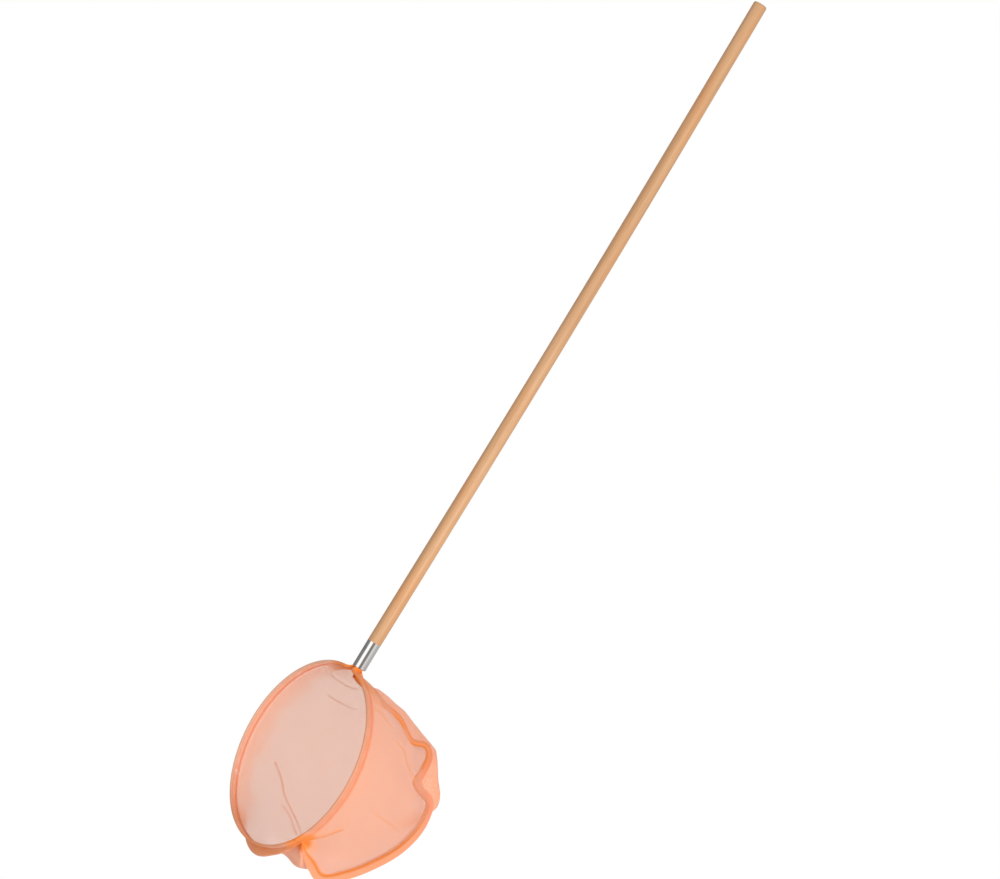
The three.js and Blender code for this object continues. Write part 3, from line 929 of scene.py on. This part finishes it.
right_lines, right_ridges = creased(right_lines, 1, RIGHT_CREASES)
left_lines, left_ridges = creased(left_lines, -1, LEFT_CREASES)
print("creases:", len(RIGHT_CREASES), "and", len(LEFT_CREASES))

# %% [markdown]
# ## Where the layers close up
# Along the hem's stitches the two layers are pulled together, along the seam four layers meet, and at
# both ends of the seam the hems are bunched into a hard little corner. The gathers there could be made
# fold by fold. They are finer than the picture shows, so the number called closed stands for them.

# %% Hem, seam and corners
STITCH_DEPTH = 6.8  # of the hem's stitches, from the wire
STITCH_PINCH = 0.8  # half width of the strip that they draw together
STRETCH_DEPTH = 2  # how far down the hem is stretched over the wire
HEM_CLOSED, HEM_DRAWN = 0.06, 0.4  # everywhere in the hem, and more where it is drawn tight
SEAM_LINE, SEAM_CLOSED = 2.6, 0.8  # half width of the seam itself, and how far it is closed
SEAM_OUT, SEAM_IN = 1, (0.3, 0.4)  # how far out its upper part is drawn, and where that ends
EDGE_CLOSED, EDGE_MORE, MORE_FROM = 0.25, 0.35, (0.5, 0.58)  # the allowance, and more farther along
GATHER_DEPTH = 17  # how far the gathers run down from the hem
GATHER_WAVES = [(0.15, 41, 0), (0.08, 97, 2)]  # how uneven they are: height, turns and start
RIGHT_GATHERS, LEFT_GATHERS = 0.06, 0.2  # how far they close the mesh
THROAT_PATCH, THROAT_CORNER = 50, 13  # how far from the throat the hem and all cloth are bunched
FAR_PATCH, FAR_CORNER = 25, 14  # the same at the seam's other end
PATCH_COLUMNS = 8  # columns of the belly that are bunched with the hem

hem_closed = HEM_CLOSED + HEM_DRAWN * hump(HEM[:, 1] - STITCH_DEPTH, STITCH_PINCH, 2)
hem_closed += np.where(HEM[:, 1] < STRETCH_DEPTH, HEM_DRAWN, 0)


def close_up(lines, ridges, gathers):
    """How far the mesh is closed at each point, and how deep the point lies in the hem's gathers."""
    columns = np.arange(lines.shape[1])
    u = np.linspace(0, 1, len(lines))[:, None]
    run = run_along(lines)

    # The seam's line lies on the fold, and in its upper part a little outside it, where it shows.
    seam_at = run[:, SEAM_AT : SEAM_AT + 1] + SEAM_OUT * (1 - ramp(u, *SEAM_IN))
    seam = SEAM_CLOSED * hump(run - seam_at, SEAM_LINE)
    edge = np.where(columns > SEAM_AT, EDGE_CLOSED + EDGE_MORE * ramp(u, *MORE_FROM), 0)

    from_hem = np.clip(run - run[:, BELLY_START : BELLY_START + 1], 0, None)
    uneven = 1
    for height, turns, start in GATHER_WAVES:
        uneven = uneven + height * np.sin(u * turns + start)
    gathered = hump(from_hem, GATHER_DEPTH * uneven, 3)

    closed = ridges.copy()
    closed[:, : len(HEM)] = np.maximum(closed[:, : len(HEM)], hem_closed)
    for more in (seam, edge, gathers * gathered):
        closed = np.maximum(closed, more)
    near_hem = columns[None] <= BELLY_START + PATCH_COLUMNS
    ends = ((seam_line[0], THROAT_PATCH, THROAT_CORNER), (seam_line[-1], FAR_PATCH, FAR_CORNER))
    for end, patch, corner in ends:
        away = length(lines - end)
        closed = np.maximum(closed, np.maximum(hump(away, patch) * near_hem, hump(away, corner)))
    return np.clip(closed, 0, 1), gathered


right_closed, _ = close_up(right_lines, right_ridges, RIGHT_GATHERS)
left_closed, left_gathered = close_up(left_lines, left_ridges, LEFT_GATHERS)
print("closed on average", round(float(right_closed.mean()), 2), round(float(left_closed.mean()), 2))

# %% [markdown]
# ## Where light is painted on
# The right panel, which is nearer, is painted paler where it lies open, as the sheen of the lamp on
# it, while its creases, the seam and the cloth at the throat keep their plain orange. The left one
# has less light painted on, mostly in its gathers and towards the seam, and its hem is painted palest
# round the wire, lifting it out of shade. A noise could strew the pale places about, but they follow
# how the bag is made, so they are given as shares: along the seam from the throat, and down from the
# hem.

# %% Painted light on the panels
THROAT_PLAIN_REACH, THROAT_PLAIN_SHARE = 38, 0.9  # how far from the throat the right panel has no painted light, and how fully
EDGE_LIT, EDGE_LESS_LIT, LESS_LIT_TO = 0.8, 0.4, (0.28, 0.38)  # painted light on the allowance, and how much less of it near the throat
EDGE_PALER, PALER_ALONG = 0.25, (0.45, 0.12)  # a pale stretch of it: how pale, middle and reach
SEAM_LIT_SHARE = (0.5, 0, 0)  # the share of the painted light that the columns at the seam keep

# The left panel's painted light: everywhere, in its gathers, towards the seam and at the lower left.
LEFT_LIT, GATHERS_LIT = 0.1, 0.4
LOW_LIT, LOW_DOWN = 0.5, (0.55, 0.85)
CORNER_LIT, CORNER_ALONG, CORNER_DOWN = 0.8, (0.72, 0.8), (0.1, 0.28)
HEM_DEPTHS, HEM_LIT = (3, 9), (1.8, 1)  # its hem, painted palest round the wire
HEM_PLAINER = (0.55, 0.75)  # and plain orange again past these shares

# The left panel lies double beyond the seam, its gathers are pulled tight at the hoop's lower left,
# and its folds lie on each other where it ends. Where it lies double it is painted lighter too.
DOUBLE_DOWN, DOUBLE_FROM, DOUBLE_TO = (0.8, 0.9), (0.3, 0.36), (0.5, 0.6)
DOUBLE_CLOSED, DOUBLE_LIT = 0.4, 0.6
TIGHT_CLOSED, TIGHT_ALONG = 0.9, (0.84, 0.24)
TIGHT_GAIN, TIGHT_LESS = 1.6, 0.7  # so that only deep gathers are
FOLDS_CLOSED, FOLDS_ALONG = 0.4, (0.88, 0.93)

down = np.clip((np.arange(right_lines.shape[1]) - BELLY_START) / BELLY_STEPS, 0, 1)[None]
share = np.linspace(0, 1, STATIONS + 1)[:, None]

# Painted light on each panel: 0 is the plain orange, 1 paler, 2 palest.
right_light = 1 - right_ridges
right_light *= 1 - THROAT_PLAIN_SHARE * hump(length(right_lines - seam_line[0]), THROAT_PLAIN_REACH)
left_light = LEFT_LIT + GATHERS_LIT * left_gathered + LOW_LIT * ramp(down, *LOW_DOWN)
left_light += CORNER_LIT * ramp(share, *CORNER_ALONG) * ramp(down, *CORNER_DOWN)
hem_light = np.interp(HEM[:, 1], HEM_DEPTHS, HEM_LIT)
left_light[:, : BELLY_START + 1] = hem_light - ramp(share, *HEM_PLAINER)
edge_light = EDGE_LIT + EDGE_PALER * swell(share, *PALER_ALONG)
edge_light = edge_light - EDGE_LESS_LIT * (1 - ramp(share, *LESS_LIT_TO))
for light_places in (right_light, left_light):
    light_places[:, SEAM_AT + 1 :] = edge_light
    light_places[:, SEAM_AT - 1 : SEAM_AT + 2] *= SEAM_LIT_SHARE

doubled = ramp(down, *DOUBLE_DOWN) * ramp(share, *DOUBLE_FROM) * (1 - ramp(share, *DOUBLE_TO))
tight = swell(share, *TIGHT_ALONG) * np.clip(left_gathered * TIGHT_GAIN - TIGHT_LESS, 0, 1)
folded = ramp(share, *FOLDS_ALONG)
for more in (DOUBLE_CLOSED * doubled, TIGHT_CLOSED * tight, FOLDS_CLOSED * folded):
    left_closed = np.maximum(left_closed, more)
left_light += DOUBLE_LIT * doubled
print("worn on average", round(float(right_light.mean()), 2), round(float(left_light.mean()), 2))

# %% [markdown]
# ## Laying the pattern flat
# A weave follows the cloth and not the room, so each panel is unwrapped as if its pattern were laid
# back on the cutting table, and the pattern is scaled until a millimetre on it is a millimetre of
# cloth. That also tells how big a piece of cloth the panel was cut from. To unwrap every point of the
# two takes Blender forty seconds. The pattern is smooth, so thinned copies of the panels do as well.

# %% Unwrapping
COARSE_ROWS, COARSE_COLUMNS = 71, 31


def thinned(count, wanted):
    return np.unique(np.linspace(0, count - 1, wanted).astype(int))


def filled_in(values, at, count):
    """Rows of values at some numbers, filled in for all the numbers up to a count."""
    return np.apply_along_axis(lambda known: np.interp(np.arange(count), at, known), 0, values)


def corner_points(mesh):
    """The number of the point at each corner of each face."""
    corners = np.zeros(len(mesh.loops), np.int32)
    mesh.loops.foreach_get("vertex_index", corners)
    return corners


def coarse_pattern(lines):
    """Unwraps a coarse copy of a panel and spreads its pattern over all of the panel's points."""
    rows, columns = thinned(lines.shape[0], COARSE_ROWS), thinned(lines.shape[1], COARSE_COLUMNS)
    copy = grid_mesh("pattern_copy", lines[np.ix_(rows, columns)], cloth)
    copy.data.uv_layers.new(name="pattern")
    bpy.context.view_layer.objects.active = copy
    copy.select_set(True)
    bpy.ops.object.mode_set(mode="EDIT")
    bpy.ops.mesh.select_all(action="SELECT")
    bpy.ops.uv.unwrap(method="MINIMUM_STRETCH", iterations=15, margin=0)
    bpy.ops.object.mode_set(mode="OBJECT")
    corners = corner_points(copy.data)
    flat = np.zeros(len(corners) * 2, np.float32)
    copy.data.uv_layers["pattern"].data.foreach_get("uv", flat)
    coarse = np.zeros((len(rows) * len(columns), 2))
    coarse[corners] = flat.reshape(-1, 2)
    coarse = coarse.reshape(len(rows), len(columns), 2)
    bpy.data.objects.remove(copy)
    coarse = filled_in(coarse, rows, lines.shape[0])
    return filled_in(coarse.swapaxes(0, 1), columns, lines.shape[1]).swapaxes(0, 1)


def lay_flat(piece, lines, grain):
    """Gives a panel its pattern in metres, with the threads at an angle to it, and returns the
    pattern's width and length and the panel's area."""
    pattern = coarse_pattern(lines).reshape(-1, 2)
    flat = pattern[corner_points(piece.data)].reshape(-1, 4, 2)
    a, b = flat[:, 2] - flat[:, 0], flat[:, 3] - flat[:, 1]
    flat_area = np.abs((a[:, 0] * b[:, 1] - a[:, 1] * b[:, 0]).sum()) / 2
    area = sum(face.area for face in piece.data.polygons)
    flat *= math.sqrt(area / flat_area)
    size = flat.reshape(-1, 2).max(0) - flat.reshape(-1, 2).min(0)
    angle = math.radians(grain)
    c, s = math.cos(angle), math.sin(angle)
    turned = flat @ np.array([[c, s], [-s, c]])
    layer = piece.data.uv_layers.new(name="pattern")
    layer.data.foreach_set("uv", turned.astype(np.float32).ravel())
    return size[0], size[1], area


print("a panel's pattern is unwrapped on", COARSE_ROWS, "by", COARSE_COLUMNS, "points")

# %% Panels as cloth
RIGHT_GRAIN, LEFT_GRAIN = 0, 45  # degrees, unlike each other, since like meshes would make stripes


def make_panel(name, lines, closed, worn, grain, node):
    piece = grid_mesh(name, lines, cloth)
    # How far the mesh is closed, and how much light is painted on it.
    for mark, values in (("closed", closed), ("worn", worn)):
        layer = piece.data.attributes.new(mark, "FLOAT", "POINT")
        layer.data.foreach_set("value", values.astype(np.float32).ravel())
    width, high, area = lay_flat(piece, lines, grain)
    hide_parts(node)
    print(name, "cut from", round(width / MM), "by", round(high / MM), "mm,", round(area, 4), "m2")
    return piece, width, high, area


right_cloth, *right_size = make_panel(
    "right_cloth", right_lines, right_closed, right_light, RIGHT_GRAIN, "right_panel"
)
left_cloth, *left_size = make_panel(
    "left_cloth", left_lines, left_closed, left_light, LEFT_GRAIN, "left_panel"
)

# %% [markdown]
# ## Stitches
# Both hems are sewn with a lockstitch, which shows on each face as a row of short dashes with a dip
# between them. So is the seam. A bump could draw the dashes, but it would lie flat in the light from
# the side. So each row is one mesh of little tubes, sunk in the cloth at both ends.

# %% Stitches
STITCH_LENGTH, STITCH_GAP = 2.9, 0.5
THREAD_RADIUS, THREAD_SIDES = 0.17, 6
STITCH_LIFT, STITCH_DIP = 0.22, 0.3  # its middle above the cloth, and its ends below the middle
SEAM_STITCH_OUT = 0.8  # from the fold out to the seam's stitches


def stitches(name, line, lift):
    """A row of stitches along a line. lift is the direction off the cloth at each point of it."""
    run = run_along(line)
    count = int(run[-1] / (STITCH_LENGTH + STITCH_GAP))
    rows = []
    t = np.linspace(0, 1, 7)
    for k in range(count):
        at = (k + 0.1 + t * STITCH_LENGTH / (STITCH_LENGTH + STITCH_GAP)) * run[-1] / count
        height = STITCH_LIFT - STITCH_DIP * (2 * t[:, None] - 1) ** 4
        path = at_runs(line, run, at) + at_runs(lift, run, at) * height
        rows.append(tube(path, THREAD_RADIUS, THREAD_SIDES))
    grid_mesh(name, np.array(rows), sewing, closed_rows=True)
    return count


outer = int(np.argmin(np.abs(HEM[:5, 1] - STITCH_DEPTH)))
inner = len(HEM) - 5 + int(np.argmin(np.abs(HEM[-5:, 1] - STITCH_DEPTH)))
_, away, across = seam_frames(seam_line)
total = 0
for side, label, lines in ((1, "right", right_lines), (-1, "left", left_lines)):
    ring_out = unit(lines[:, outer] - lines[:, inner])
    total += stitches(f"{label}_hem_stitches_outside", lines[:, outer], ring_out)
    total += stitches(f"{label}_hem_stitches_inside", lines[:, inner], -ring_out)
    seam_row = lines[:, SEAM_AT] + away * SEAM_STITCH_OUT
    total += stitches(f"{label}_seam_stitches", seam_row, across * side)
print("stitches", total)

# %% [markdown]
# ## Closing
# The visual model has to stay in the frame's box.

# %% End
print("scene built")
